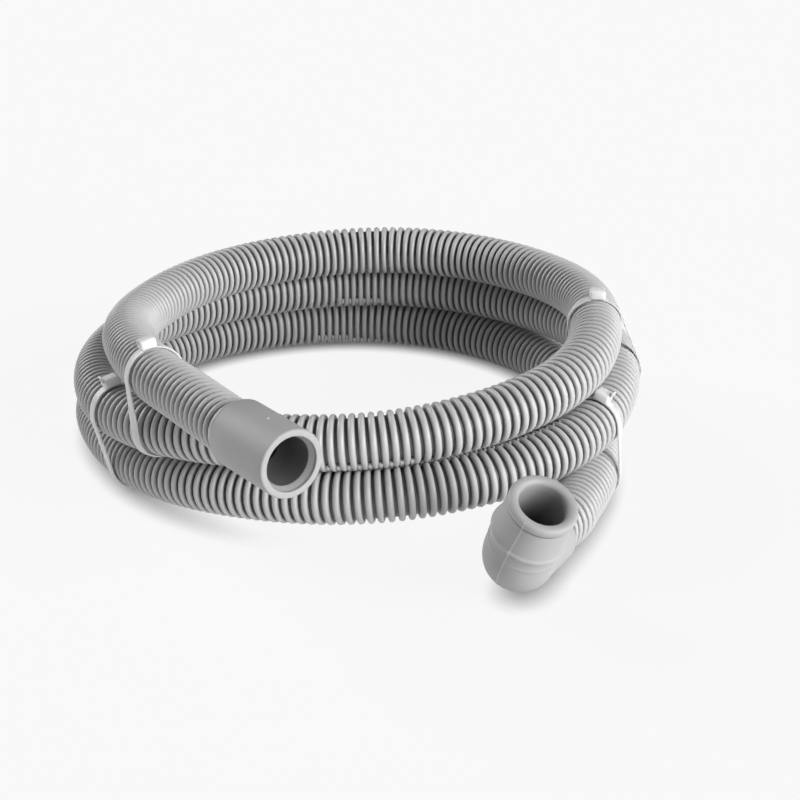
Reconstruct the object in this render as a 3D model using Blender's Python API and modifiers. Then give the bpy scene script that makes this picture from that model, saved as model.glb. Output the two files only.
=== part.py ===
"""Dishwasher drain hose, coiled and tied.

A corrugated plastic hose lies in a coil of almost three turns. A straight cuff
is moulded on one end and an elbow cuff on the other, and four cable ties each
bind two turns. Metres, +Z up, the floor at Z = 0, +Y away from the viewer.
"""

import math

import bmesh
import bpy
from mathutils import Matrix, Vector

MM = 0.001
FIT = 0.3 * MM                     # left between pieces that touch
STRAP_FIT = 0.6 * MM              # between a tie's strap and the hose that it holds

# Hose
HOSE_OD = 25.0 * MM                # over the crowns of the ribs
HOSE_GRIP = 17.0 * MM              # length of hose held in each cuff
RUN_OUT = 6.0 * MM                 # straight length of hose behind each cuff
COIL_CENTRE = Vector((3.2, 15.5, 0.65)) * MM    # from the middle of the whole outline

# Straight cuff
CUFF_LENGTH = 40.0 * MM
CUFF_OD = 30.6 * MM
CUFF_BORE = 21.5 * MM              # grips the drain spigot
CUFF_LEAD_IN = 25.2 * MM           # wider mouth in front of the bore
CUFF_LEAD_IN_DEPTH = 3.5 * MM
CUFF_MOUTH = COIL_CENTRE + Vector((-24.2, -179.6, 73.6)) * MM
CUFF_HEADING = math.radians(-53)

# Elbow cuff
ELBOW_TURN = math.radians(77)      # angle that the water is turned through
ELBOW_ROLL = math.radians(26)      # lean of the mouth away from upright
ELBOW_HEADING = math.radians(-120)
ELBOW_CORNER = COIL_CENTRE + Vector((68.5, -158.0, 16.2)) * MM     # where its axes cross
ELBOW_BEND = 17.0 * MM             # radius of the centreline in the bend
ELBOW_BODY_OD = 31.8 * MM
SLEEVE_OD = 29.8 * MM
SLEEVE_REACH = 33.0 * MM           # from the corner to the end on the hose
MOUTH_REACH = 43.5 * MM            # from the corner to the mouth
MOUTH_OD = 30.8 * MM
MOUTH_BORE = 21.4 * MM
DUCT_BORE = 19.0 * MM              # through the bend
BEAD_OD = 34.4 * MM
BEAD_WIDTH = 2.4 * MM
BEAD_BEHIND_MOUTH = 20.0 * MM
RIM_ROUND = 1.0 * MM               # rounding at both cuffs' mouths

# Cable ties
STRAP_WIDTH = 4.4 * MM
STRAP_THICKNESS = 1.0 * MM
HEAD_LENGTH = 7.8 * MM             # along the strap
HEAD_WIDTH = 7.0 * MM
HEAD_HEIGHT = 4.8 * MM
TAIL_LENGTH = 4.0 * MM
SLOT_WALL = 1.6 * MM               # head left over the strap in its slot
HEAD_SEAT = 0.4 * MM               # head clear of the strap's inner face

# Route of the coil: angle in degrees from +X towards +Y, then radius and
# height of the hose's centreline in millimetres at each station.
FIRST_STATION = 200
STATION_STEP = 40
STEPS_PER_STATION = 3
COIL_STATIONS = (
    (114.5, 67.7), (115.0, 61.5), (122.0, 60.5), (127.5, 62.5), (124.5, 64.0), (117.0, 68.0),
    (119.0, 64.0), (115.5, 56.0), (116.0, 49.5), (126.5, 41.0), (135.0, 39.3), (135.5, 38.2),
    (138.5, 38.7), (134.5, 39.3), (127.0, 44.0), (127.0, 38.0), (120.0, 30.9), (113.5, 22.9),
    (120.0, 14.2), (142.5, 13.5), (147.5, 12.9), (144.0, 12.8), (130.0, 12.8), (118.0, 13.5),
)
# Free ends of the hose, x, y and z from the coil's centre in millimetres
POINTS_AFTER_CUFF = ((-63.0, -126.0, 73.4), (-76.5, -104.5, 72.8), (-89.5, -83.5, 71.6), (-99.5, -62.0, 69.8))
POINTS_BEFORE_ELBOW = ((116.5, -25.0, 13.6), (115.0, -43.0, 13.5), (112.0, -61.0, 13.5), (107.0, -79.0, 13.8),
                       (100.8, -96.5, 14.4), (95.2, -112.0, 15.2))

# Cable ties: place round the coil, the two turns that each one binds (0 is the
# top turn) and how far the head leans outwards, in degrees
TIES = (
    ("left_upper_tie", 220, (0, 1), 9),
    ("left_lower_tie", 204, (1, 2), -3),
    ("right_upper_tie", -2, (0, 1), 24),
    ("right_lower_tie", -29, (1, 2), 19),
)


def heading(angle):
    """Level direction at an angle from +X."""
    return Vector((math.cos(angle), math.sin(angle), 0.0))


def smooth_through(points, steps):
    """Points on a smooth curve that passes through all the given ones."""
    ends = (2 * points[0] - points[1], 2 * points[-1] - points[-2])
    guide = [ends[0], *points, ends[1]]
    line = []
    for a, b, c, d in zip(guide, guide[1:], guide[2:], guide[3:]):
        for step in range(steps):
            t = step / steps
            line.append(0.5 * (2 * b + (c - a) * t + (2 * a - 5 * b + 4 * c - d) * t * t
                               + (3 * b - a - 3 * c + d) * t ** 3))
    line.append(points[-1].copy())
    return line


def coil_turns():
    """Centreline of the coiled stretch, worked out station by station."""
    stations = []
    for index, (radius, height) in enumerate(COIL_STATIONS):
        stations.append(Vector((FIRST_STATION - STATION_STEP * index, radius, height)))
    turns = []
    for angle, radius, height in smooth_through(stations, STEPS_PER_STATION):
        point = heading(math.radians(angle)) * radius * MM
        point.z = height * MM
        turns.append(COIL_CENTRE + point)
    return turns


def cuff_axis():
    """Direction out of the straight cuff's mouth."""
    return heading(CUFF_HEADING)


def elbow_axes():
    """Directions of flow into the elbow and out of its mouth."""
    inward = heading(ELBOW_HEADING)
    side = Vector((-inward.y, inward.x, 0.0))
    upright = Vector((0, 0, math.cos(ELBOW_ROLL))) + side * math.sin(ELBOW_ROLL)
    outward = inward * math.cos(ELBOW_TURN) + upright * math.sin(ELBOW_TURN)
    return inward, outward


def hose_route():
    """Centreline of the whole hose, from inside one cuff to inside the other."""
    cuff_rear = CUFF_MOUTH - cuff_axis() * CUFF_LENGTH
    inward, _ = elbow_axes()
    sleeve_rear = ELBOW_CORNER - inward * SLEEVE_REACH
    start = [cuff_rear + cuff_axis() * HOSE_GRIP, cuff_rear, cuff_rear - cuff_axis() * RUN_OUT]
    finish = [sleeve_rear - inward * RUN_OUT, sleeve_rear, sleeve_rear + inward * HOSE_GRIP]
    after = [COIL_CENTRE + Vector(point) * MM for point in POINTS_AFTER_CUFF]
    before = [COIL_CENTRE + Vector(point) * MM for point in POINTS_BEFORE_ELBOW]
    return start + after + coil_turns() + before + finish


def turn_at(route, angle, turn):
    """Point and direction of the route where a turn passes a polar angle."""
    ways = [(c - a).normalized() for a, c in zip(route, route[2:])]
    ways = [ways[0], *ways, ways[-1]]
    places = [point - COIL_CENTRE for point in route]
    bearings = [math.atan2(place.y, place.x) for place in places]
    wanted = math.radians(angle) - turn * math.tau
    passed = bearings[0] + math.tau
    for index, (a, b) in enumerate(zip(route, route[1:])):
        swing = math.remainder(bearings[index + 1] - bearings[index], math.tau)
        if passed + swing <= wanted <= passed:
            share = (wanted - passed) / swing
            return a.lerp(b, share), ways[index].lerp(ways[index + 1], share).normalized()
        passed += swing
    raise ValueError(f"the hose doesn't pass {angle} degrees on turn {turn}")


def make_collection(name):
    """New collection in the scene."""
    collection = bpy.data.collections.new(name)
    bpy.context.scene.collection.children.link(collection)
    return collection


def make_material(name, colour, roughness):
    """Principled material of one plain colour."""
    material = bpy.data.materials.new(name)
    material.use_nodes = True
    shader = material.node_tree.nodes["Principled BSDF"]
    shader.inputs["Base Color"].default_value = (*colour, 1.0)
    shader.inputs["Roughness"].default_value = roughness
    shader.inputs["Metallic"].default_value = 0.0
    return material


def add_object(name, data, collection, material=None):
    """Object of a curve or mesh, in a collection, with its material."""
    obj = bpy.data.objects.new(name, data)
    collection.objects.link(obj)
    if material is not None:
        data.materials.append(material)
    return obj


def swept_curve(name, points, radii, resolution):
    """Round solid curve along points, with a radius at each of them."""
    curve = bpy.data.curves.new(name, "CURVE")
    curve.dimensions = "3D"
    curve.bevel_depth = MM
    curve.bevel_resolution = resolution
    curve.use_fill_caps = True
    spline = curve.splines.new("POLY")
    spline.points.add(len(points) - 1)
    for slot, point, radius in zip(spline.points, points, radii):
        slot.co = (*point, 1.0)
        slot.radius = radius / MM
    return curve


def as_mesh(obj):
    """Turn a curve object into a mesh object with its caps welded on."""
    evaluated = obj.evaluated_get(bpy.context.evaluated_depsgraph_get())
    mesh = bpy.data.meshes.new_from_object(evaluated)
    work = bmesh.new()
    work.from_mesh(mesh)
    bmesh.ops.remove_doubles(work, verts=work.verts, dist=0.001 * MM)
    bmesh.ops.recalc_face_normals(work, faces=work.faces)
    work.to_mesh(mesh)
    work.free()
    solid = bpy.data.objects.new(obj.name, mesh)
    solid.matrix_world = obj.matrix_world
    for collection in obj.users_collection:
        collection.objects.link(solid)
    name = obj.name
    bpy.data.objects.remove(obj)
    solid.name = name
    return solid


def combine(obj, other, operation):
    """Boolean modifier with another object, which is kept out of sight."""
    other.hide_render = True
    other.display_type = "WIRE"
    boolean = obj.modifiers.new(operation.title(), "BOOLEAN")
    boolean.operation = operation
    boolean.solver = "EXACT"
    boolean.object = other


def place_along(obj, origin, axis):
    """Move an object to an origin and turn its +Z onto an axis."""
    turn = axis.to_track_quat("Z", "Y").to_matrix().to_4x4()
    obj.matrix_world = Matrix.Translation(origin) @ turn


def build_hose(collection, route, material):
    """Hose as one plain tube along its whole route."""
    radii = [HOSE_OD / 2] * len(route)
    curve = swept_curve("drain_hose", route, radii, 4)
    return as_mesh(add_object("drain_hose", curve, collection, material))


def rounded_rim(radius, height):
    """Quarter round from a flat rim to the side below it, as (radius, height)."""
    points = []
    for step in range(5):
        angle = math.radians(90 - 22.5 * step)
        points.append((radius - RIM_ROUND + RIM_ROUND * math.cos(angle),
                       height - RIM_ROUND + RIM_ROUND * math.sin(angle)))
    return points


def build_straight_cuff(collection, material):
    """Turned rubber cuff: a socket on the hose, then the bore for the spigot."""
    socket_radius = HOSE_OD / 2 + FIT
    socket_end = HOSE_GRIP + FIT
    outer = rounded_rim(CUFF_OD / 2, CUFF_LENGTH)
    profile = [
        *outer,
        (CUFF_OD / 2, 0.8 * MM),
        (CUFF_OD / 2 - 0.8 * MM, 0.0),
        (socket_radius, 0.0),
        (socket_radius, socket_end),
        (CUFF_BORE / 2, socket_end),
        (CUFF_BORE / 2, CUFF_LENGTH - CUFF_LEAD_IN_DEPTH - 1.2 * MM),
        (CUFF_LEAD_IN / 2, CUFF_LENGTH - CUFF_LEAD_IN_DEPTH),
        (CUFF_LEAD_IN / 2, CUFF_LENGTH),
    ]
    mesh = bpy.data.meshes.new("straight_cuff")
    work = bmesh.new()
    corners = [work.verts.new((radius, 0.0, height)) for radius, height in profile]
    for a, b in zip(corners, corners[1:] + corners[:1]):
        work.edges.new((a, b))
    work.to_mesh(mesh)
    work.free()
    cuff = add_object("straight_cuff", mesh, collection, material)
    screw = cuff.modifiers.new("Turn", "SCREW")
    screw.axis = "Z"
    screw.steps = 40
    screw.render_steps = 40
    screw.use_merge_vertices = True
    screw.merge_threshold = 0.00001
    place_along(cuff, CUFF_MOUTH - cuff_axis() * CUFF_LENGTH, cuff_axis())
    return cuff


def elbow_path(start, finish):
    """Centreline of the elbow between two distances from its corner."""
    inward, outward = elbow_axes()
    tangent = ELBOW_BEND * math.tan(ELBOW_TURN / 2)
    centre = ELBOW_CORNER - inward * tangent
    normal = (outward - inward * outward.dot(inward)).normalized()
    centre += normal * ELBOW_BEND
    points = []
    for distance in start:
        points.append(ELBOW_CORNER - inward * distance)
    for step in range(13):
        angle = ELBOW_TURN * step / 12
        points.append(centre + (inward * math.sin(angle) - normal * math.cos(angle)) * ELBOW_BEND)
    for distance in finish:
        points.append(ELBOW_CORNER + outward * distance)
    return points


def build_elbow_cuff(collection, cutters, material):
    """Moulded elbow: swept body with a bead, minus a swept duct and socket."""
    tangent = ELBOW_BEND * math.tan(ELBOW_TURN / 2)
    bead = MOUTH_REACH - BEAD_BEHIND_MOUTH
    body = ELBOW_BODY_OD / 2
    sleeve = [(SLEEVE_REACH, SLEEVE_OD / 2 - 0.8 * MM), (SLEEVE_REACH - 0.8 * MM, SLEEVE_OD / 2),
              (tangent + 0.6 * MM, SLEEVE_OD / 2), (tangent + 0.3 * MM, body)]
    mouth = [(bead - BEAD_WIDTH / 2, body), (bead - BEAD_WIDTH / 4, BEAD_OD / 2),
             (bead + BEAD_WIDTH / 4, BEAD_OD / 2), (bead + BEAD_WIDTH / 2, body)]
    mouth += [(height, radius) for radius, height in reversed(rounded_rim(MOUTH_OD / 2, MOUTH_REACH))]
    outside = elbow_path([s for s, _ in sleeve], [s for s, _ in mouth])
    radii = [r for _, r in sleeve] + [body] * 13 + [r for _, r in mouth]
    elbow = as_mesh(add_object("elbow_cuff", swept_curve("elbow_cuff", outside, radii, 12), collection, material))

    socket = HOSE_OD / 2 + FIT
    socket_end = SLEEVE_REACH - HOSE_GRIP - FIT
    duct = DUCT_BORE / 2
    before = [(SLEEVE_REACH + 5 * MM, socket), (socket_end, socket), (socket_end - 0.05 * MM, duct)]
    after = [(tangent + 2 * MM, duct), (MOUTH_REACH - 6 * MM, MOUTH_BORE / 2), (MOUTH_REACH + 5 * MM, MOUTH_BORE / 2)]
    inside = elbow_path([s for s, _ in before], [s for s, _ in after])
    radii = [r for _, r in before] + [duct] * 13 + [r for _, r in after]
    cutter = as_mesh(add_object("elbow_duct", swept_curve("elbow_duct", inside, radii, 12), cutters))
    combine(elbow, cutter, "DIFFERENCE")
    return elbow


def stadium(curve, reach, radius):
    """Closed outline of a band round two equal circles, in a flat curve."""
    corners = []
    for end, first in ((reach, 0), (-reach, 180)):
        for step in range(19):
            angle = math.radians(first + 10 * step)
            corners.append((radius * math.cos(angle), end + radius * math.sin(angle)))
    spline = curve.splines.new("POLY")
    spline.points.add(len(corners) - 1)
    for slot, (x, y) in zip(spline.points, corners):
        slot.co = (x, y, 0.0, 1.0)
    spline.use_cyclic_u = True


def across_angle(way):
    """Turn about Y that brings Z, or its opposite, to a direction."""
    return math.atan(way.x / way.z)


def build_tie(collection, cutters, material, route, name, angle, turns, lean):
    """Cable tie: a strap round two turns, its head and its cut tail."""
    upper, upper_way = turn_at(route, angle, turns[0])
    lower, lower_way = turn_at(route, angle, turns[1])
    across = (upper_way + lower_way).normalized()
    rise = upper - lower
    rise -= across * rise.dot(across)
    reach = rise.length / 2
    outward = rise.normalized().cross(across)
    outward *= math.copysign(1.0, outward.dot(heading(math.radians(angle))))
    frame = Matrix((outward, rise.normalized(), outward.cross(rise.normalized()))).transposed().to_4x4()
    frame.translation = (upper + lower) / 2

    inner = HOSE_OD / 2 + STRAP_FIT
    curve = bpy.data.curves.new(name, "CURVE")
    curve.dimensions = "2D"
    curve.fill_mode = "BOTH"
    curve.extrude = STRAP_WIDTH / 2
    stadium(curve, reach, inner + STRAP_THICKNESS)
    stadium(curve, reach, inner)
    tie = add_object(name, curve, collection, material)
    tie.matrix_world = frame
    tie = as_mesh(tie)

    # The turns don't run quite alike, so the strap is twisted to lie square on each of them.
    to_tie = frame.inverted().to_3x3()
    upper_turn = across_angle(to_tie @ upper_way)
    lower_turn = across_angle(to_tie @ lower_way)
    slip = (frame.inverted() @ upper).z
    for vertex in tie.data.vertices:
        share = max(-1.0, min(1.0, vertex.co.y / reach))
        angle = (upper_turn * (1 + share) + lower_turn * (1 - share)) / 2
        vertex.co = Matrix.Rotation(angle, 3, "Y") @ vertex.co + Vector((0, 0, slip * share))

    tilt = Matrix.Translation((0, reach, slip)) @ Matrix.Rotation(upper_turn, 4, "Y")
    tilt @= Matrix.Rotation(-math.radians(lean), 4, "Z")
    head = box(f"{name}_head", cutters, HEAD_LENGTH, HEAD_HEIGHT, HEAD_WIDTH)
    head.matrix_world = frame @ tilt @ Matrix.Translation((0, inner + HEAD_SEAT + HEAD_HEIGHT / 2, 0))
    bevel = head.modifiers.new("Edges", "BEVEL")
    bevel.width = 0.7 * MM
    bevel.segments = 2
    combine(tie, head, "UNION")

    tail_drop = inner + STRAP_THICKNESS + SLOT_WALL
    tail = box(f"{name}_tail", cutters, TAIL_LENGTH * 2, STRAP_THICKNESS, STRAP_WIDTH)
    tail.matrix_world = frame @ tilt @ Matrix.Translation((HEAD_LENGTH / 2, tail_drop, 0))
    combine(tie, tail, "UNION")
    return tie


def box(name, collection, length, height, width):
    """Box centred on its origin."""
    mesh = bpy.data.meshes.new(name)
    work = bmesh.new()
    bmesh.ops.create_cube(work, size=1.0)
    bmesh.ops.scale(work, vec=(length, height, width), verts=work.verts)
    work.to_mesh(mesh)
    work.free()
    return add_object(name, mesh, collection)


def main():
    """Build the whole hose."""
    for obj in list(bpy.data.objects):
        bpy.data.objects.remove(obj)
    collection = make_collection("dishwasher_drain_hose")
    cutters = make_collection("cutters")
    plastic = make_material("hose_plastic", (0.36, 0.36, 0.36), 0.42)
    rubber = make_material("straight_cuff_rubber", (0.37, 0.37, 0.37), 0.55)
    elbow_rubber = make_material("elbow_cuff_rubber", (0.38, 0.38, 0.39), 0.5)
    nylon = make_material("tie_nylon", (0.86, 0.86, 0.84), 0.4)
    route = hose_route()
    build_hose(collection, route, plastic)
    build_straight_cuff(collection, rubber)
    build_elbow_cuff(collection, cutters, elbow_rubber)
    for name, angle, turns, lean in TIES:
        build_tie(collection, cutters, nylon, route, name, angle, turns, lean)


main()
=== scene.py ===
"""Looks of the coiled dishwasher drain hose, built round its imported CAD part.

The corrugated hose, its two rubber cuffs and the cable ties are each a class
with its sizes as fields. Metres, +Z up, the floor at Z = 0, +Y away from the
viewer.
"""

import logging
import math
from bisect import bisect_right
from dataclasses import dataclass, field
from enum import Enum

import bmesh
import bpy
from mathutils import Matrix, Vector


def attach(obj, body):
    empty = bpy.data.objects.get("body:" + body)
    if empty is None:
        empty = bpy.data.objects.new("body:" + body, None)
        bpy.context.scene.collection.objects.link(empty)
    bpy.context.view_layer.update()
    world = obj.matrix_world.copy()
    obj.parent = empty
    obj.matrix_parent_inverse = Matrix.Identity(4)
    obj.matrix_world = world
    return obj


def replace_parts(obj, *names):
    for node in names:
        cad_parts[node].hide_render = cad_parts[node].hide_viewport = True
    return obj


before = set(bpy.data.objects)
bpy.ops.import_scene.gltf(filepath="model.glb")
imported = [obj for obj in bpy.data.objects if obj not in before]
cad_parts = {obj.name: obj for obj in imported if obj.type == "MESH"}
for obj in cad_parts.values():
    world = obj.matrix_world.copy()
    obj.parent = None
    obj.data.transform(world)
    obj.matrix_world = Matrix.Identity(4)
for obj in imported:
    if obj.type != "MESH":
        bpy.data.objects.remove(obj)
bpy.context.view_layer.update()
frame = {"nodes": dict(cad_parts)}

MM = 0.001
LOG = logging.getLogger("drain_hose")
WHITE = (1.0, 1.0, 1.0, 1.0)
HARD_EDGE = 50.0
COIL_CENTRE = Vector((3.2, 15.5, 0.65)) * MM
HOSE_OD = 25.0 * MM
HOSE_GRIP = 17.0 * MM
SOCKET_PLAY = 0.3 * MM


class Turn(Enum):
    """Turn of the coil, counted from the top."""

    TOP = 0
    MIDDLE = 1
    BOTTOM = 2


def heading(degrees: float) -> Vector:
    """Level direction at an angle from +X."""
    return Vector((math.cos(math.radians(degrees)), math.sin(math.radians(degrees)), 0.0))


def smooth_through(points: list[Vector], steps: int) -> list[Vector]:
    """Run a smooth line through points.

    Args:
        points: Places that the line passes, in order.
        steps: Pieces of line between two of them.

    Returns:
        The points of the line, ends included.
    """
    guide = [2 * points[0] - points[1], *points, 2 * points[-1] - points[-2]]
    line = []
    for a, b, c, d in zip(guide, guide[1:], guide[2:], guide[3:]):
        for step in range(steps):
            t = step / steps
            line.append(0.5 * (2 * b + (c - a) * t + (2 * a - 5 * b + 4 * c - d) * t * t
                               + (3 * b - a - 3 * c + d) * t ** 3))
    return [*line, points[-1].copy()]


class Line:
    """Line that a mesh built along +Z can be bent onto."""

    def __init__(self, points: list[Vector], sides: list[Vector] | None = None) -> None:
        """Measure the line and set a direction at each of its points.

        Args:
            points: Points of the line, in order.
            sides: Direction of local X at each of them. Without it, local Y is
                the way up and local X is level.
        """
        self.points = points
        self.sides = sides
        self.reach = [0.0]
        for a, b in zip(points, points[1:]):
            self.reach.append(self.reach[-1] + (b - a).length)
        inner = [(c - a).normalized() for a, c in zip(points, points[2:])]
        first = (points[1] - points[0]).normalized()
        last = (points[-1] - points[-2]).normalized()
        self.ways = [first, *inner, last]

    @property
    def length(self) -> float:
        """Length of the line."""
        return self.reach[-1]

    def frame_at(self, distance: float) -> Matrix:
        """Frame on the line, its Z along it.

        Args:
            distance: Distance from the line's start. Past an end, the line runs
                on straight.

        Returns:
            The frame, as a matrix.
        """
        index = min(max(bisect_right(self.reach, distance) - 1, 0), len(self.points) - 2)
        span = self.reach[index + 1] - self.reach[index]
        share = (distance - self.reach[index]) / span
        held = min(max(share, 0.0), 1.0)
        way = self.ways[index].lerp(self.ways[index + 1], held).normalized()
        place = self.points[index].lerp(self.points[index + 1], share)
        side = Vector((0, 0, 1)).cross(way)
        if self.sides is not None:
            side = self.sides[index].lerp(self.sides[index + 1], held)
        side = (side - way * side.dot(way)).normalized()
        turned = Matrix((side, way.cross(side), way)).transposed().to_4x4()
        turned.translation = place
        return turned

    def bend(self, work: bmesh.types.BMesh) -> None:
        """Bend a mesh onto the line, its Z becoming the distance along it."""
        frames: dict[float, Matrix] = {}
        for vert in work.verts:
            key = round(vert.co.z, 7)
            if key not in frames:
                frames[key] = self.frame_at(key)
            vert.co = frames[key] @ Vector((vert.co.x, vert.co.y, 0.0))


@dataclass
class HoseRoute:
    """Centreline of the hose, from inside one cuff to inside the other.

    The stations give the coil's radius and height in millimetres, every 40
    degrees from the first one's angle down.
    """

    first_station: float = 200.0
    station_step: float = 40.0
    stations: tuple[tuple[float, float], ...] = (
        (114.5, 67.7), (115.0, 61.5), (122.0, 60.5), (127.5, 62.5), (124.5, 64.0), (117.0, 68.0),
        (119.0, 64.0), (115.5, 56.0), (116.0, 49.5), (126.5, 41.0), (135.0, 39.3), (135.5, 38.2),
        (138.5, 38.7), (134.5, 39.3), (127.0, 44.0), (127.0, 38.0), (120.0, 30.9), (113.5, 22.9),
        (120.0, 14.2), (142.5, 13.5), (147.5, 12.9), (144.0, 12.8), (130.0, 12.8), (118.0, 13.5),
    )
    after_cuff: tuple[tuple[float, float, float], ...] = (
        (-63.0, -126.0, 73.4), (-76.5, -104.5, 72.8), (-89.5, -83.5, 71.6), (-99.5, -62.0, 69.8),
    )
    before_elbow: tuple[tuple[float, float, float], ...] = (
        (116.5, -25.0, 13.6), (115.0, -43.0, 13.5), (112.0, -61.0, 13.5), (107.0, -79.0, 13.8),
        (100.8, -96.5, 14.4), (95.2, -112.0, 15.2),
    )
    run_out: float = 6.0 * MM

    def points(self, cuff: "StraightCuff", elbow: "ElbowCuff") -> list[Vector]:
        """Points of the route, one for each place that the hose is laid through.

        Args:
            cuff: Straight cuff at the route's start.
            elbow: Elbow cuff at its end.

        Returns:
            The points in order.
        """
        rear = cuff.mouth - cuff.axis * cuff.length
        sleeve = elbow.corner - elbow.inward * elbow.sleeve_reach
        start = [rear + cuff.axis * HOSE_GRIP, rear, rear - cuff.axis * self.run_out]
        finish = [sleeve - elbow.inward * self.run_out, sleeve, sleeve + elbow.inward * HOSE_GRIP]
        after = [COIL_CENTRE + Vector(p) * MM for p in self.after_cuff]
        before = [COIL_CENTRE + Vector(p) * MM for p in self.before_elbow]
        return start + after + self.turns() + before + finish

    def turns(self) -> list[Vector]:
        """Points of the coiled stretch, station by station."""
        stations = [Vector((self.first_station - self.station_step * i, radius, height))
                    for i, (radius, height) in enumerate(self.stations)]
        turns = []
        for angle, radius, height in smooth_through(stations, 3):
            turns.append(COIL_CENTRE + (heading(angle) * radius + Vector((0, 0, height))) * MM)
        return turns


@dataclass(frozen=True)
class Place:
    """Point of the hose where a turn passes an angle round the coil."""

    angle: float
    turn: Turn

    def on(self, line: Line) -> float:
        """Distance along the hose's line of this place.

        Args:
            line: Centreline of the hose.

        Returns:
            The distance in metres.

        Raises:
            ValueError: If the hose doesn't pass there.
        """
        spots = [point - COIL_CENTRE for point in line.points]
        bearings = [math.atan2(spot.y, spot.x) for spot in spots]
        wanted = math.radians(self.angle) - self.turn.value * math.tau
        passed = bearings[0] + math.tau
        for index, (a, b) in enumerate(zip(bearings, bearings[1:])):
            swing = math.remainder(b - a, math.tau)
            if passed + swing <= wanted <= passed:
                share = (wanted - passed) / swing
                return line.reach[index] + share * (line.reach[index + 1] - line.reach[index])
            passed += swing
        raise ValueError(f"the hose doesn't pass {self.angle} degrees on the {self.turn.name} turn")


def scaled(colour: tuple[float, float, float], by: float) -> tuple[float, float, float, float]:
    """Colour made lighter or darker, with its alpha."""
    return (colour[0] * by, colour[1] * by, colour[2] * by, 1.0)


class NodeGraph:
    """Nodes of one material, with the Principled shader at the end."""

    def __init__(self, name: str) -> None:
        """Start a material.

        Args:
            name: Name of the material.
        """
        self.material = bpy.data.materials.new(name)
        self.material.use_nodes = True
        self.nodes = self.material.node_tree.nodes
        self.shader = self.nodes["Principled BSDF"]

    def add(self, kind: str, **inputs: object) -> bpy.types.Node:
        """Add a node.

        Args:
            kind: Name of its type.
            **inputs: Values of its sockets, and sockets that feed them, with
                underscores for the spaces in the sockets' names.

        Returns:
            The node.
        """
        node = self.nodes.new(kind)
        for name, value in inputs.items():
            self.feed(node.inputs[name.replace("_", " ")], value)
        return node

    def feed(self, socket: bpy.types.NodeSocket, value: object) -> None:
        """Give a socket its value, or the socket that feeds it."""
        if isinstance(value, bpy.types.NodeSocket):
            self.material.node_tree.links.new(value, socket)
        else:
            socket.default_value = value

    def noise(self, scale: float, detail: float = 4.0) -> bpy.types.NodeSocket:
        """Noise in the object's own coordinates.

        Args:
            scale: Features to the metre.
            detail: Octaves of finer noise.

        Returns:
            The noise's value.
        """
        place = self.add("ShaderNodeTexCoord").outputs["Object"]
        return self.add("ShaderNodeTexNoise", Vector=place, Scale=scale, Detail=detail).outputs["Fac"]

    def between(self, share: bpy.types.NodeSocket, low: float, high: float) -> bpy.types.NodeSocket:
        """Number from low to high as a share goes from 0 to 1."""
        spread = self.add("ShaderNodeMapRange", Value=share, To_Min=low, To_Max=high)
        return spread.outputs["Result"]

    def ramp(self, value: bpy.types.NodeSocket, start: float, end: float) -> bpy.types.NodeSocket:
        """Share from 0 to 1 as a value goes from a start to an end."""
        share = self.add("ShaderNodeMapRange", Value=value, From_Min=start, From_Max=end)
        return share.outputs["Result"]

    def depth(self) -> bpy.types.NodeSocket:
        """Depth that the mesh notes at each of its points."""
        attribute = self.nodes.new("ShaderNodeAttribute")
        attribute.attribute_name = "depth"
        return attribute.outputs["Fac"]

    def combined(self, kind: str, first: object, second: object) -> bpy.types.NodeSocket:
        """Work out a number from two others.

        Args:
            kind: Operation, by its Blender name.
            first: First number, or the socket that gives it.
            second: Second one.

        Returns:
            The result.
        """
        node = self.nodes.new("ShaderNodeMath")
        node.operation = kind
        self.feed(node.inputs[0], first)
        self.feed(node.inputs[1], second)
        return node.outputs["Value"]

    def mixed(self, share: bpy.types.NodeSocket, first: object, second: object) -> bpy.types.NodeSocket:
        """Mix two colours.

        Args:
            share: Share of the second colour.
            first: Colour, or socket, where the share is 0.
            second: Colour, or socket, where it is 1.

        Returns:
            The mixed colour.
        """
        mix = self.nodes.new("ShaderNodeMix")
        mix.data_type = "RGBA"
        self.feed(mix.inputs["Factor"], share)
        self.feed(mix.inputs["A"], first)
        self.feed(mix.inputs["B"], second)
        return mix.outputs["Result"]

    def clouded(self, colour: tuple[float, float, float], spread: float,
                noise: bpy.types.NodeSocket) -> bpy.types.NodeSocket:
        """Let a noise make a colour lighter and darker.

        Args:
            colour: The colour.
            spread: Share by which it changes each way.
            noise: Noise from 0 to 1.

        Returns:
            The clouded colour.
        """
        return self.mixed(noise, scaled(colour, 1 - spread), scaled(colour, 1 + spread))

    def rough(self, scale: float, low: float, high: float) -> None:
        """Let the shader's roughness vary with a noise.

        Args:
            scale: The noise's features to the metre.
            low: Roughness where the noise is 0.
            high: Roughness where it is 1.
        """
        self.feed(self.shader.inputs["Roughness"], self.between(self.noise(scale), low, high))

    def bump(self, height: bpy.types.NodeSocket, depth: float) -> None:
        """Give the shader a fine relief.

        Args:
            height: Height from 0 to 1.
            depth: Depth of the relief in metres.
        """
        relief = self.add("ShaderNodeBump", Height=height, Distance=depth, Strength=1.0)
        self.feed(self.shader.inputs["Normal"], relief.outputs["Normal"])


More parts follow.
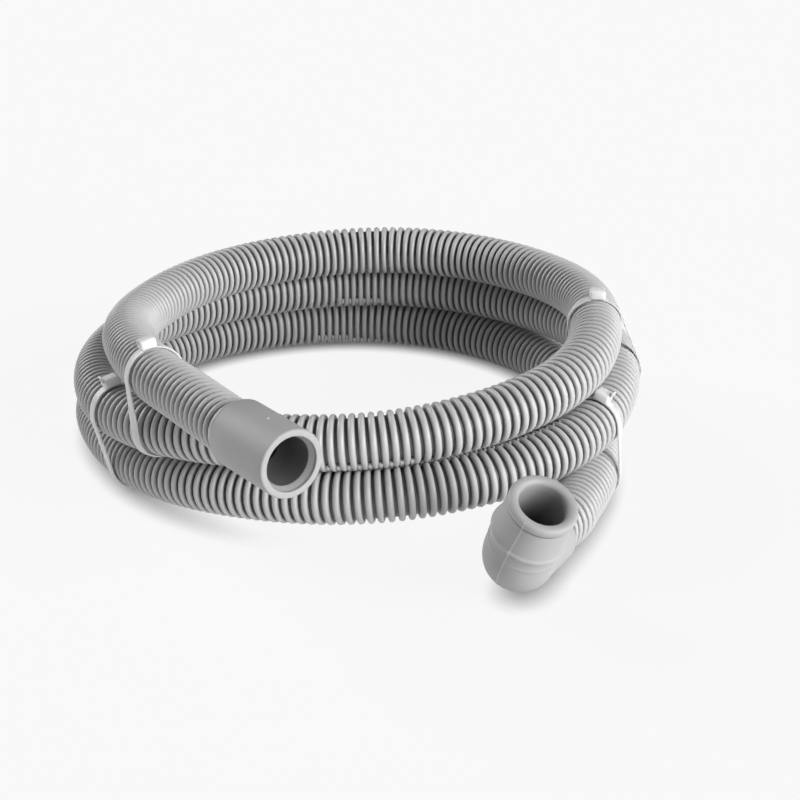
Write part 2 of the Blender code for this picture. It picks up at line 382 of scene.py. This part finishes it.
@dataclass(frozen=True)
class HosePlastic:
    """Grey polypropylene of the corrugated hose, with shade painted into its grooves and bore.

    The groove and the bore are shares of the colour for that painted shade. The spans say at which
    noted depths the shade starts to turn into them and where it has turned.
    """

    colour: tuple[float, float, float] = (0.57, 0.57, 0.57)
    groove: float = 0.26
    groove_shade_span: tuple[float, float] = (0.06, 0.42)
    bore: float = 0.06
    bore_shade_span: tuple[float, float] = (0.6, 0.9)
    cloudiness: float = 0.07
    roughness: float = 0.36
    grain: float = 0.06 * MM

    def build(self) -> bpy.types.Material:
        """Make the material."""
        graph = NodeGraph("hose_plastic")
        depth = graph.depth()
        crown = graph.clouded(self.colour, self.cloudiness, graph.noise(38.0, 3.0))
        groove_shade_share = graph.ramp(depth, *self.groove_shade_span)
        in_bore = graph.ramp(depth, *self.bore_shade_span)
        # Painted shade: the grooves and the bore get darker with the noted depth.
        shade = graph.mixed(groove_shade_share, crown, scaled(self.colour, self.groove))
        shade = graph.mixed(in_bore, shade, scaled(self.colour, self.bore))
        graph.feed(graph.shader.inputs["Base Color"], shade)
        graph.rough(220.0, self.roughness - 0.06, self.roughness + 0.08)
        graph.bump(graph.noise(1400.0, 3.0), self.grain)
        return graph.material


@dataclass(frozen=True)
class CuffRubber:
    """Matt moulded rubber of a cuff.

    The speck, the inside and the pale mould marks are shares of the colour. A noted depth
    over 0 brings the shade painted in the bore and the folds, and one below 0 the paler
    colour of the seam and the gate mark, which also paints a highlight along the bead.
    """

    name: str
    colour: tuple[float, float, float]
    roughness: float
    cloudiness: float = 0.07
    speck: float = 0.6
    speckle: float = 0.16
    inside: float = 0.25
    mould_mark_and_highlight: float = 1.35
    grain: float = 0.05 * MM

    def build(self) -> bpy.types.Material:
        """Make the material."""
        graph = NodeGraph(self.name)
        depth = graph.depth()
        shade = graph.clouded(self.colour, self.cloudiness, graph.noise(55.0, 5.0))
        specks = graph.between(graph.noise(2600.0, 2.0), 0.0, self.speckle)
        shade = graph.mixed(specks, shade, scaled(self.colour, self.speck))
        shade = graph.mixed(depth, shade, scaled(self.colour, self.inside))
        shade = graph.mixed(graph.ramp(depth, 0.0, -1.0), shade, scaled(self.colour, self.mould_mark_and_highlight))
        graph.feed(graph.shader.inputs["Base Color"], shade)
        graph.rough(160.0, self.roughness - 0.06, self.roughness + 0.06)
        graph.bump(graph.noise(1800.0, 3.0), self.grain)
        return graph.material


@dataclass(frozen=True)
class Nylon:
    """Milky nylon of the cable ties."""

    colour: tuple[float, float, float] = (0.95, 0.95, 0.945)
    cloudiness: float = 0.03
    roughness: float = 0.36
    milkiness: float = 0.8
    milk_depth: float = 3.0 * MM
    grain: float = 0.03 * MM

    def build(self) -> bpy.types.Material:
        """Make the material."""
        graph = NodeGraph("tie_nylon")
        graph.feed(graph.shader.inputs["Base Color"],
                   graph.clouded(self.colour, self.cloudiness, graph.noise(300.0)))
        graph.rough(900.0, self.roughness - 0.05, self.roughness + 0.1)
        graph.feed(graph.shader.inputs["Subsurface Weight"], self.milkiness)
        graph.feed(graph.shader.inputs["Subsurface Scale"], self.milk_depth)
        graph.feed(graph.shader.inputs["Subsurface Radius"], (1.0, 1.0, 1.0))
        graph.bump(graph.noise(2200.0, 2.0), self.grain)
        return graph.material


def finished(name: str, work: bmesh.types.BMesh, material: bpy.types.Material) -> bpy.types.Object:
    """Turn a worked mesh into a smooth piece that rides on the part.

    Args:
        name: Name of the piece.
        work: Its mesh, in place. It is freed.
        material: Its finish.

    Returns:
        The piece.
    """
    for face in work.faces:
        face.smooth = True
    mesh = bpy.data.meshes.new(name)
    work.to_mesh(mesh)
    work.free()
    mesh.materials.append(material)
    piece = bpy.data.objects.new(name, mesh)
    bpy.context.scene.collection.objects.link(piece)
    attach(piece, "root")
    return piece


def turned(profile: list[tuple[float, float]], steps: int, closed: bool = True) -> bmesh.types.BMesh:
    """Turn a profile round the Z axis.

    Args:
        profile: Radius and height of each corner, in order.
        steps: Steps in the full turn.
        closed: Whether the last corner joins the first.

    Returns:
        The mesh, its faces outwards.
    """
    work = bmesh.new()
    corners = [work.verts.new((radius, 0.0, height)) for radius, height in profile]
    pairs = zip(corners, corners[1:] + corners[:1] if closed else corners[1:])
    for a, b in pairs:
        work.edges.new((a, b))
    bmesh.ops.spin(work, geom=work.verts[:] + work.edges[:], axis=(0, 0, 1), cent=(0, 0, 0), dvec=(0, 0, 0),
                   angle=math.tau, steps=steps, use_merge=True, use_duplicate=False)
    bmesh.ops.remove_doubles(work, verts=work.verts, dist=0.001 * MM)
    bmesh.ops.recalc_face_normals(work, faces=work.faces)
    return work


def shade_bore(work: bmesh.types.BMesh, diameter: float, mouth: float, fall: float) -> None:
    """Note how deep the points of a cuff lie in its bore, for the shade painted there: 0 outside it, up to
    1 far inside.

    Args:
        work: Mesh of the cuff before it is bent, along Z.
        diameter: Width of the bore.
        mouth: Height at which the bore's painted shade starts.
        fall: Distance from there to where it is darkest.
    """
    depth = work.verts.layers.float.new("depth")
    for vert in work.verts:
        inside = math.hypot(vert.co.x, vert.co.y) < diameter / 2 + 0.05 * MM
        vert[depth] = min(max((mouth - vert.co.z) / fall, 0.0), 1.0) if inside else 0.0


def crease(work: bmesh.types.BMesh, degrees: float) -> None:
    """Shade every edge sharper than an angle as a hard one."""
    for edge in work.edges:
        if len(edge.link_faces) == 2 and edge.calc_face_angle(0.0) > math.radians(degrees):
            edge.smooth = False


def rounded(radius: float, height: float, rounding: float,
            inwards: bool = False) -> list[tuple[float, float]]:
    """Quarter round between a flat rim and the wall beside it.

    Args:
        radius: Radius of the wall.
        height: Height of the rim.
        rounding: Radius of the rounding.
        inwards: Whether the wall is a bore's, inside the rim.

    Returns:
        Radius and height of its points, from the rim to the wall, or from the
        wall to the rim for a bore.
    """
    points = []
    for step in range(7):
        angle = math.radians(90 - 15 * step)
        out = rounding - rounding * math.cos(angle)
        rise = height - rounding + rounding * math.sin(angle)
        points.append((radius + out if inwards else radius - out, rise))
    return points[::-1] if inwards else points


@dataclass
class StraightCuff:
    """Turned rubber cuff on the upper end of the hose.

    The gate's place is how far the mould's mark lies aside and behind the mouth.
    """

    mouth: Vector = field(default_factory=lambda: COIL_CENTRE + Vector((-24.2, -179.6, 73.6)) * MM)
    turn: float = -53.0
    length: float = 40.0 * MM
    diameter: float = 30.6 * MM
    bore: float = 21.5 * MM
    hose_bore: float = 16.8 * MM
    funnel: float = 13.0 * MM
    lead_in: float = 24.4 * MM
    lead_in_depth: float = 3.5 * MM
    socket: float = 25.6 * MM
    rim_round: float = 1.0 * MM
    steps: int = 96
    gate_size: float = 1.7 * MM
    gate_flatness: float = 0.45
    gate_place: tuple[float, float] = (-0.9 * MM, 16.0 * MM)

    @property
    def axis(self) -> Vector:
        """Direction out of the mouth."""
        return heading(self.turn)

    def build(self, rubber: bpy.types.Material) -> bpy.types.Object:
        """Build the cuff.

        Args:
            rubber: Its finish.

        Returns:
            The cuff.
        """
        outer, socket, hose_bore = self.diameter / 2, self.socket / 2, self.hose_bore / 2
        bore, lead_in = self.bore / 2, self.lead_in / 2
        floor = self.length - self.lead_in_depth
        grip = HOSE_GRIP + SOCKET_PLAY
        profile = [
            *rounded(outer, self.length, self.rim_round),
            (outer, 30 * MM), (outer, 15 * MM), (outer, 1.0 * MM), (outer - 0.3 * MM, 0.3 * MM),
            (outer - 1.0 * MM, 0.0), (socket, 0.0), (socket, grip), (hose_bore, grip),
            (bore, floor - self.funnel), (bore, floor - 0.8 * MM), (bore + 0.15 * MM, floor - 0.3 * MM),
            (lead_in - 0.3 * MM, floor + 1.6 * MM), (lead_in, floor + 2.2 * MM),
            *rounded(lead_in, self.length, 0.5 * MM, inwards=True),
        ]
        work = turned(profile, self.steps)
        crease(work, HARD_EDGE)
        shade_bore(work, self.bore, floor, 0.5 * MM)
        self.gate_mark(work)
        rear = self.mouth - self.axis * self.length
        Line([rear, self.mouth]).bend(work)
        cuff = finished("cuff_straight", work, rubber)
        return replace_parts(cuff, "straight_cuff")

    def gate_mark(self, work: bmesh.types.BMesh) -> None:
        """Add the small, pale round mark that moulding leaves on top of the cuff."""
        aside, behind_mouth = self.gate_place
        place = Matrix.Translation((aside, self.diameter / 2 - 0.1 * MM, self.length - behind_mouth))
        flat = Matrix.Diagonal((1.0, self.gate_flatness, 1.0, 1.0))
        dome = bmesh.ops.create_uvsphere(work, u_segments=20, v_segments=10, radius=self.gate_size / 2,
                                         matrix=place @ flat)["verts"]
        faces = list({face for vert in dome for face in vert.link_faces})
        bmesh.ops.recalc_face_normals(work, faces=faces)
        depth = work.verts.layers.float["depth"]
        for vert in dome:
            vert[depth] = -1.0


@dataclass
class ElbowCuff:
    """Moulded rubber elbow on the lower end of the hose.

    The sections of the fold, the ridge and the bead are in millimetres along
    the elbow, each with its depth or height in millimetres, or for the bead
    with its share of the bead's height.
    """

    corner: Vector = field(default_factory=lambda: COIL_CENTRE + Vector((68.5, -158.0, 16.2)) * MM)
    turn: float = -120.0
    bend: float = 77.0
    roll: float = 26.0
    bend_radius: float = 17.0 * MM
    body: float = 31.8 * MM
    sleeve: float = 29.8 * MM
    sleeve_reach: float = 33.0 * MM
    mouth_reach: float = 43.5 * MM
    lip: float = 30.8 * MM
    neck: float = 29.2 * MM
    bead: float = 34.4 * MM
    bead_behind_mouth: float = 20.0 * MM
    bead_section: tuple[tuple[float, float], ...] = (
        (-1.7, 0.1), (-1.25, 0.3), (-0.8, 0.72), (-0.35, 0.96), (0.0, 1.0), (0.4, 0.95), (0.85, 0.7),
        (1.3, 0.38), (1.9, 0.3),
    )
    ridge_behind_mouth: float = 27.5 * MM
    ridge_section: tuple[tuple[float, float], ...] = (
        (-0.9, 0.0), (-0.5, 0.18), (-0.2, 0.3), (0.2, 0.3), (0.5, 0.2), (0.9, 0.06),
    )
    step_in_bend: float = 7.4 * MM
    fold_section: tuple[tuple[float, float], ...] = ((-1.7, 0.1), (-1.1, 0.3), (-0.5, 0.3), (0.0, 0.3))
    lip_fold: float = 4.8 * MM
    steps: int = 240
    seam_height: float = 0.25 * MM
    bore: float = 21.4 * MM
    duct: float = 19.0 * MM
    socket: float = 25.6 * MM

    @property
    def inward(self) -> Vector:
        """Direction of flow into the elbow."""
        return heading(self.turn)

    @property
    def outward(self) -> Vector:
        """Direction of flow out of its mouth."""
        roll, bend = math.radians(self.roll), math.radians(self.bend)
        side = Vector((0, 0, 1)).cross(self.inward)
        upright = Vector((0, 0, math.cos(roll))) + side * math.sin(roll)
        return self.inward * math.cos(bend) + upright * math.sin(bend)

    @property
    def tangent(self) -> float:
        """Distance from the corner to each end of the bend."""
        return self.bend_radius * math.tan(math.radians(self.bend) / 2)

    def line(self) -> Line:
        """Centreline from the sleeve's end to the mouth."""
        normal = (self.outward - self.inward * self.outward.dot(self.inward)).normalized()
        centre = self.corner - self.inward * self.tangent + normal * self.bend_radius
        points = [self.corner - self.inward * self.sleeve_reach]
        for step in range(25):
            angle = math.radians(self.bend) * step / 24
            spoke = self.inward * math.sin(angle) - normal * math.cos(angle)
            points.append(centre + spoke * self.bend_radius)
        points.append(self.corner + self.outward * self.mouth_reach)
        return Line(points, [self.inward.cross(self.outward).normalized()] * len(points))

    def outside(self, start: float, close: float, end: float) -> list[tuple[float, float]]:
        """Profile of the outside, from the sleeve's end to the mouth.

        Args:
            start: Where the bend starts along the elbow.
            close: Where it ends.
            end: Where the mouth is.

        Returns:
            Radius and height of its corners.
        """
        lip, neck, body, sleeve = self.lip / 2, self.neck / 2, self.body / 2, self.sleeve / 2
        rise = self.bead / 2 - body
        ring = end - self.bead_behind_mouth
        ridge = end - self.ridge_behind_mouth
        step = start + self.step_in_bend
        profile = [(sleeve - 0.8 * MM, 0.0), (sleeve - 0.2 * MM, 0.3 * MM), (sleeve, 1.0 * MM)]
        profile += [(sleeve, 9 * MM)] + [(sleeve, step - back * 0.9 * MM) for back in range(10, 2, -1)]
        profile += [(sleeve - depth * MM, step + along * MM) for along, depth in self.fold_section]
        profile += [(body - 0.3 * MM, step + 0.15 * MM), (body, step + 0.6 * MM)]
        profile += [(body, step + (close - step) * i / 20) for i in range(2, 21)]
        profile += [(body + out * MM, ridge + along * MM) for along, out in self.ridge_section]
        profile += [(body + rise * share, ring + along * MM) for along, share in self.bead_section]
        profile += [(neck + 0.5 * MM, end - 8 * MM), (neck + 0.1 * MM, end - 5.4 * MM)]
        profile += [(neck, end - self.lip_fold), (neck + 0.1 * MM, end - 4.4 * MM)]
        profile += [(lip - 0.3 * MM, end - 4.0 * MM), (lip - 0.05 * MM, end - 3.5 * MM)]
        return profile + [(lip, end - 2.6 * MM), *rounded(lip, end, 1.9 * MM)[::-1]]

    def build(self, rubber: bpy.types.Material) -> bpy.types.Object:
        """Build the elbow.

        Args:
            rubber: Its finish.

        Returns:
            The elbow.
        """
        line = self.line()
        end = line.length
        start = self.sleeve_reach - self.tangent
        close = end - (self.mouth_reach - self.tangent)
        outer = self.outside(start, close, end)
        inner = rounded(self.bore / 2, end, 2.2 * MM, inwards=True)[::-1]
        inner += [(self.bore / 2, end - 6 * MM), (self.duct / 2, close + 2 * MM)]
        inner += [(self.duct / 2, close - (close - start) * i / 20) for i in range(21)]
        grip = HOSE_GRIP + SOCKET_PLAY
        inner += [(self.duct / 2, grip), (self.socket / 2, grip), (self.socket / 2, 0.0)]
        work = turned(outer + inner, self.steps)
        crease(work, HARD_EDGE)
        shade_bore(work, self.bore, end - 3 * MM, 10 * MM)
        folds = [start + self.step_in_bend + along * MM for along, _ in self.fold_section]
        self.mark_lines(work, [end - self.lip_fold, *folds], end - self.bead_behind_mouth)
        line.bend(work)
        elbow = finished("cuff_elbow", work, rubber)
        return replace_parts(elbow, "elbow_cuff")

    def mark_lines(self, work: bmesh.types.BMesh, folds: list[float], ring: float) -> None:
        """Raise the mould's seam, paler than the rubber, paint shade into the folds and a highlight along
        the bead.

        Args:
            work: Mesh of the elbow before it is bent, along Z.
            folds: Heights at which the folds lie.
            ring: Height of the bead.
        """
        depth = work.verts.layers.float["depth"]
        near = 0.1 * MM
        for vert in work.verts:
            if math.hypot(vert.co.x, vert.co.y) < self.neck / 2 - near:
                continue
            # Painted shade along the folds.
            if any(abs(vert.co.z - height) < near for height in folds):
                vert[depth] = 1.0
            # Painted highlight along the bead's crown.
            if abs(vert.co.z - ring) < near:
                vert[depth] = -0.8
            if abs(vert.co.x) < 0.01 * MM and vert.co.y > 0 and vert.co.z > 0.5 * MM:
                vert.co.y += self.seam_height
                vert[depth] = -1.0


@dataclass(frozen=True)
class GrooveBars:
    """Run of small bars across the grooves, of which the shade is a noted depth.

    The mould's seam leaves pale ones. The dark ones aren't on the real hose:
    they stop the light between two turns that press together there and only
    nearly touch here. The start is a distance along the hose, and the angle
    goes round it.
    """

    start: float
    count: int
    angle: float
    length: float = 3.8 * MM
    height: float = 1.9 * MM
    shade: float = 0.0


@dataclass
class CorrugatedHose:
    """Ribbed hose, one tube from cuff to cuff.

    The rib's section gives shares of its width, each with its depth below the
    crown in millimetres.
    """

    diameter: float = 25.9 * MM
    floor_diameter: float = 21.3 * MM
    bore: float = 16.6 * MM
    pitch: float = 4.4 * MM
    groove: float = 1.35 * MM
    liner: float = 45.0 * MM
    sides: int = 24
    rib_section: tuple[tuple[float, float], ...] = (
        (0.03, 1.05), (0.2, 0.26), (0.5, 0.0), (0.8, 0.26), (0.97, 1.05),
    )
    hard_edge: float = 60.0
    bar_round: float = 0.35 * MM
    bars: tuple[GrooveBars, ...] = (
        GrooveBars(726.0 * MM, 9, -48.0),
        GrooveBars(1141.0 * MM, 6, 218.0),
        GrooveBars(1951.0 * MM, 5, 215.0),
        # The next two runs are dark bars of painted shade, in the grooves' shaded colour.
        GrooveBars(646.0 * MM, 29, -74.0, length=5.5 * MM, height=2.3 * MM, shade=0.5),
        GrooveBars(1455.0 * MM, 29, 110.0, length=5.5 * MM, height=2.3 * MM, shade=0.5),
    )

    def rib(self, start: float) -> list[tuple[float, float]]:
        """Profile of one groove and the rib after it.

        Args:
            start: Height at which the groove starts.

        Returns:
            Radius and height of its corners.
        """
        crown, floor = self.diameter / 2, self.floor_diameter / 2
        wall = self.pitch - self.groove
        foot = start + self.groove
        section = [(crown - drop * MM, foot + share * wall) for share, drop in self.rib_section]
        return [(floor, start), (floor, foot), *section]

    def build(self, line: Line, plastic: bpy.types.Material) -> bpy.types.Object:
        """Build the hose along its line.

        Args:
            line: Centreline of the hose.
            plastic: Its finish.

        Returns:
            The hose.
        """
        count = int(line.length / self.pitch)
        bore, floor = self.bore / 2, self.floor_diameter / 2
        profile = [(0.0, self.liner), (bore, self.liner), (bore, 0.0)]
        for index in range(count):
            profile += self.rib(index * self.pitch)
        end = count * self.pitch
        profile += [(floor, end), (bore, end), (bore, end - self.liner), (0.0, end - self.liner)]
        work = turned(profile, self.sides, closed=False)
        self.shade_depth(work, end)
        crease(work, self.hard_edge)
        for bars in self.bars:
            self.add_bars(work, bars)
        line.bend(work)
        hose = finished("hose", work, plastic)
        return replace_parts(hose, "drain_hose")

    def shade_depth(self, work: bmesh.types.BMesh, length: float) -> None:
        """Note how deep each point lies, for the painted shade: 0 on a crown, 0.5 in a groove, 1 in the
        bore and in the cuffs.

        Args:
            work: Mesh of the hose before it is bent, along Z.
            length: Its length.
        """
        depth = work.verts.layers.float.new("depth")
        crown, floor = self.diameter / 2, self.floor_diameter / 2
        for vert in work.verts:
            radius = math.hypot(vert.co.x, vert.co.y)
            in_bore = radius < floor - 0.5 * MM
            in_cuff = not HOSE_GRIP / 2 < vert.co.z < length - HOSE_GRIP / 2
            vert[depth] = 1.0 if in_bore or in_cuff else 0.5 * (crown - radius) / (crown - floor)

    def add_bars(self, work: bmesh.types.BMesh, bars: GrooveBars) -> None:
        """Add a run of bars, one across each groove.

        Args:
            work: Mesh of the hose before it is bent, along Z.
            bars: The run.
        """
        depth = work.verts.layers.float["depth"]
        first = round(bars.start / self.pitch)
        turn = Matrix.Rotation(math.radians(bars.angle), 4, "Z")
        middle = (self.floor_diameter + bars.height) / 2
        size = Matrix.Diagonal((bars.height, bars.length, self.groove + 0.3 * MM, 1.0))
        for index in range(first, first + bars.count):
            place = turn @ Matrix.Translation((middle, 0.0, index * self.pitch + self.groove / 2))
            bar = bmesh.ops.create_cube(work, size=1.0, matrix=place @ size)["verts"]
            for vert in bar:
                vert[depth] = bars.shade
            edges = list({edge for vert in bar for edge in vert.link_edges})
            bmesh.ops.bevel(work, geom=edges, offset=self.bar_round, segments=2, profile=0.5,
                            affect="EDGES", material=-1)


@dataclass
class CableTie:
    """Nylon tie round two turns of the coil.

    The angles are in degrees: the tie's place round the coil, the lean of its
    head from the top of the upper turn, and the tail's rise from the strap.
    The tail's inset is its root's distance from the head's end and top.
    """

    name: str
    angle: float
    upper: Turn
    lower: Turn
    lean: float
    tail: float = 3.6 * MM
    tail_rise: float = 68.0
    tail_inset: tuple[float, float] = (0.8 * MM, 1.9 * MM)
    tail_share: float = 0.8
    width: float = 4.4 * MM
    thickness: float = 1.0 * MM
    clearance: float = 0.6 * MM
    head: tuple[float, float, float] = (7.8 * MM, 4.8 * MM, 7.0 * MM)
    head_lift: float = 0.4 * MM
    head_round: float = 1.2 * MM
    tooth: float = 1.1 * MM
    tooth_depth: float = 0.35 * MM
    hard_edge: float = 20.0
    frame: Matrix = field(init=False)
    reach: float = field(init=False)
    slip: float = field(init=False)
    turns: tuple[float, float] = field(init=False)

    def fit(self, line: Line) -> None:
        """Find the tie's frame, X outwards and Y up, and how the turns lie in it.

        Args:
            line: Centreline of the hose.
        """
        upper = line.frame_at(Place(self.angle, self.upper).on(line))
        lower = line.frame_at(Place(self.angle, self.lower).on(line))
        across = (upper.col[2].xyz + lower.col[2].xyz).normalized()
        rise = upper.translation - lower.translation
        rise -= across * rise.dot(across)
        self.reach = rise.length / 2
        rise.normalize()
        outward = rise.cross(across)
        outward *= math.copysign(1.0, outward.dot(heading(self.angle)))
        self.frame = Matrix((outward, rise, outward.cross(rise))).transposed().to_4x4()
        self.frame.translation = (upper.translation + lower.translation) / 2
        to_tie = self.frame.inverted()
        self.slip = (to_tie @ upper.translation).z
        ways = [to_tie.to_3x3() @ turn.col[2].xyz for turn in (upper, lower)]
        self.turns = (math.atan(ways[0].x / ways[0].z), math.atan(ways[1].x / ways[1].z))

    def twist(self, height: float) -> Matrix:
        """Frame at a height of the tie, square to the turn that the strap is on there.

        Args:
            height: Height over the middle between the turns.

        Returns:
            The frame in the tie's own frame, at that height.
        """
        share = max(-1.0, min(1.0, height / self.reach))
        angle = (self.turns[0] * (1 + share) + self.turns[1] * (1 - share)) / 2
        return Matrix.Translation((0, height, self.slip * share)) @ Matrix.Rotation(angle, 4, "Y")

    def loop(self) -> Line:
        """Line of the strap, from the head round both turns and back."""
        radius = HOSE_OD / 2 + self.clearance + self.thickness / 2
        points, sides = [], []
        for step in range(61):
            angle = math.radians(90 - self.lean - 6 * step)
            centre = self.reach if math.sin(angle) > 0 or step in (0, 60) else -self.reach
            place = self.frame @ self.twist(centre + radius * math.sin(angle))
            points.append(place @ Vector((radius * math.cos(angle), 0.0, 0.0)))
            sides.append(place.col[2].xyz)
        return Line(points, sides)

    def build(self, line: Line, nylon: bpy.types.Material) -> bpy.types.Object:
        """Build the tie.

        Args:
            line: Centreline of the hose.
            nylon: Its finish.

        Returns:
            The tie.
        """
        self.fit(line)
        loop = self.loop()
        work = bmesh.new()
        bmesh.ops.create_cube(work, size=1.0)
        bmesh.ops.scale(work, vec=(self.width, self.thickness, loop.length), verts=work.verts)
        bmesh.ops.translate(work, vec=(0, 0, loop.length / 2), verts=work.verts)
        teeth = round(loop.length / self.tooth)
        long_edges = [edge for edge in work.edges if edge.calc_length() > loop.length / 2]
        bmesh.ops.subdivide_edges(work, edges=long_edges, cuts=2 * teeth - 1, use_grid_fill=True)
        for vert in work.verts:
            notch = round(vert.co.z / loop.length * 2 * teeth) % 2
            if notch and vert.co.y > 0:
                vert.co.y -= self.tooth_depth
        crease(work, self.hard_edge)
        loop.bend(work)
        length, height, width = self.head
        top = self.frame @ self.twist(self.reach) @ Matrix.Rotation(-math.radians(self.lean), 4, "Z")
        base = HOSE_OD / 2 + self.clearance + self.head_lift
        middle = Matrix.Translation((0, base + height / 2, 0))
        self.block(work, top @ middle, (length, height, width), self.head_round)
        inset, drop = self.tail_inset
        root = Matrix.Translation((length / 2 - inset, base + height - drop, 0))
        raised = Matrix.Rotation(math.radians(self.tail_rise), 4, "Z")
        stub = root @ raised @ Matrix.Translation((self.tail / 2, 0, 0))
        self.block(work, top @ stub, (self.tail, self.thickness, self.width * self.tail_share), 0.2 * MM)
        tie = finished(f"{self.name}_strap", work, nylon)
        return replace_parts(tie, self.name)

    def block(self, work: bmesh.types.BMesh, place: Matrix, size: tuple[float, float, float],
              rounding: float) -> None:
        """Add a rounded block to a mesh.

        Args:
            work: The mesh.
            place: Frame of the block's middle.
            size: Its length, height and width.
            rounding: Rounding of its edges.
        """
        others = set(work.verts)
        verts = bmesh.ops.create_cube(work, size=1.0)["verts"]
        bmesh.ops.scale(work, vec=size, verts=verts)
        edges = list({edge for vert in verts for edge in vert.link_edges})
        bmesh.ops.bevel(work, geom=edges, offset=rounding, segments=3, profile=0.5,
                        affect="EDGES", material=-1)
        added = [vert for vert in work.verts if vert not in others]
        bmesh.ops.transform(work, matrix=place, verts=added)


@dataclass(frozen=True)
class Lamp:
    """Wide, far lamp.

    The spread is its apparent width, the tilt its angle from overhead and the
    turn the direction that its light comes from, from +X, all in degrees.
    """

    name: str
    strength: float
    spread: float
    tilt: float
    turn: float

    def build(self) -> None:
        """Hang the lamp."""
        data = bpy.data.lights.new(self.name, "SUN")
        data.energy = self.strength
        data.angle = math.radians(self.spread)
        lamp = bpy.data.objects.new(self.name, data)
        tilt = math.radians(self.tilt)
        source = heading(self.turn) * math.sin(tilt) + Vector((0, 0, math.cos(tilt)))
        lamp.rotation_euler = source.to_track_quat("Z", "Y").to_euler()
        bpy.context.scene.collection.objects.link(lamp)


@dataclass
class Studio:
    """Pale floor, soft light and the camera.

    The floor glows at the backdrop's strength where the camera sees it, and
    less near the object, down to the shadow's strength where no sky is open.
    The contact is how far from the object that shadow reaches. The ambient
    strength lights the object, and the horizon is what the camera sees past
    the floor.
    """

    place: Vector = field(default_factory=lambda: Vector((0.02306, -0.85469, 0.39994)))
    pitch: float = 23.27
    lens: float = 84.04
    sensor: float = 36.0
    backdrop: float = 0.9
    shadow: float = 0.05
    open_sky: float = 0.62
    contact: float = 20.0 * MM
    floor_reach: float = 4.0
    ambient: float = 0.12
    horizon: float = 0.945
    lamps: tuple[Lamp, ...] = (
        Lamp("key_lamp", 4.1, 45.0, 75.0, -36.0),
        Lamp("rear_lamp", 1.8, 35.0, 58.0, 148.0),
    )

    def camera(self) -> None:
        """Set the camera."""
        data = bpy.data.cameras.new("camera")
        data.lens = self.lens
        data.sensor_width = self.sensor
        camera = bpy.data.objects.new("camera", data)
        camera.location = self.place
        camera.rotation_euler = (math.radians(90 - self.pitch), 0, 0)
        bpy.context.scene.collection.objects.link(camera)
        bpy.context.scene.camera = camera

    def floor(self) -> None:
        """Lay the floor, pale to the camera and plain to the light."""
        work = bmesh.new()
        bmesh.ops.create_grid(work, x_segments=2, y_segments=2, size=self.floor_reach)
        graph = NodeGraph("studio_floor")
        rays = graph.nodes.new("ShaderNodeLightPath").outputs
        mirrored = graph.combined("MAXIMUM", rays["Is Glossy Ray"], rays["Is Transmission Ray"])
        seen = graph.combined("MAXIMUM", rays["Is Camera Ray"], mirrored)
        sky = graph.add("ShaderNodeAmbientOcclusion", Distance=self.contact).outputs["AO"]
        glow = graph.between(graph.ramp(sky, 0.0, self.open_sky), self.shadow, self.backdrop)
        shader = graph.shader.inputs
        graph.feed(shader["Base Color"], graph.mixed(seen, scaled(WHITE[:3], 0.9), scaled(WHITE[:3], 0.06)))
        graph.feed(shader["Emission Color"], WHITE)
        graph.feed(shader["Emission Strength"], graph.combined("MULTIPLY", seen, glow))
        graph.feed(shader["Roughness"], 0.9)
        graph.feed(shader["Specular IOR Level"], 0.0)
        mesh = bpy.data.meshes.new("floor")
        work.to_mesh(mesh)
        work.free()
        mesh.materials.append(graph.material)
        floor = bpy.data.objects.new("floor", mesh)
        bpy.context.scene.collection.objects.link(floor)

    def world(self) -> None:
        """Light everything softly from all round, with a pale sky past the floor for the camera."""
        world = bpy.data.worlds.new("studio")
        world.use_nodes = True
        nodes = world.node_tree.nodes
        nodes["Background"].inputs["Color"].default_value = WHITE
        strength = nodes.new("ShaderNodeMapRange")
        strength.inputs["To Min"].default_value = self.ambient
        strength.inputs["To Max"].default_value = self.horizon
        seen = nodes.new("ShaderNodeLightPath").outputs["Is Camera Ray"]
        world.node_tree.links.new(seen, strength.inputs["Value"])
        world.node_tree.links.new(strength.outputs["Result"], nodes["Background"].inputs["Strength"])
        bpy.context.scene.world = world

    def build(self) -> None:
        """Set up the whole studio."""
        self.camera()
        self.floor()
        self.world()
        for lamp in self.lamps:
            lamp.build()
        bpy.context.scene.view_settings.view_transform = "Standard"


def main() -> None:
    """Build the studio and every piece of the hose, and report each one."""
    logging.basicConfig(level=logging.INFO, format="%(name)s: %(message)s")
    Studio().build()
    cuff, elbow = StraightCuff(), ElbowCuff()
    points = HoseRoute().points(cuff, elbow)
    line = Line(smooth_through(points, 6))
    hose = CorrugatedHose().build(line, HosePlastic().build())
    pieces = [
        hose,
        cuff.build(CuffRubber("straight_cuff_rubber", (0.44, 0.44, 0.44), 0.55).build()),
        elbow.build(CuffRubber("elbow_cuff_rubber", (0.46, 0.46, 0.46), 0.5).build()),
    ]
    nylon = Nylon().build()
    for tie in (
        CableTie("left_upper_tie", 220, Turn.TOP, Turn.MIDDLE, 9, tail=1.2 * MM),
        CableTie("left_lower_tie", 204, Turn.MIDDLE, Turn.BOTTOM, -3),
        CableTie("right_upper_tie", -2, Turn.TOP, Turn.MIDDLE, 24, tail=1.2 * MM),
        CableTie("right_lower_tie", -29, Turn.MIDDLE, Turn.BOTTOM, 19),
    ):
        pieces.append(tie.build(line, nylon))
    for piece in pieces:
        LOG.info("%s has %d faces", piece.name, len(piece.data.polygons))


if __name__ == "__main__":
    main()
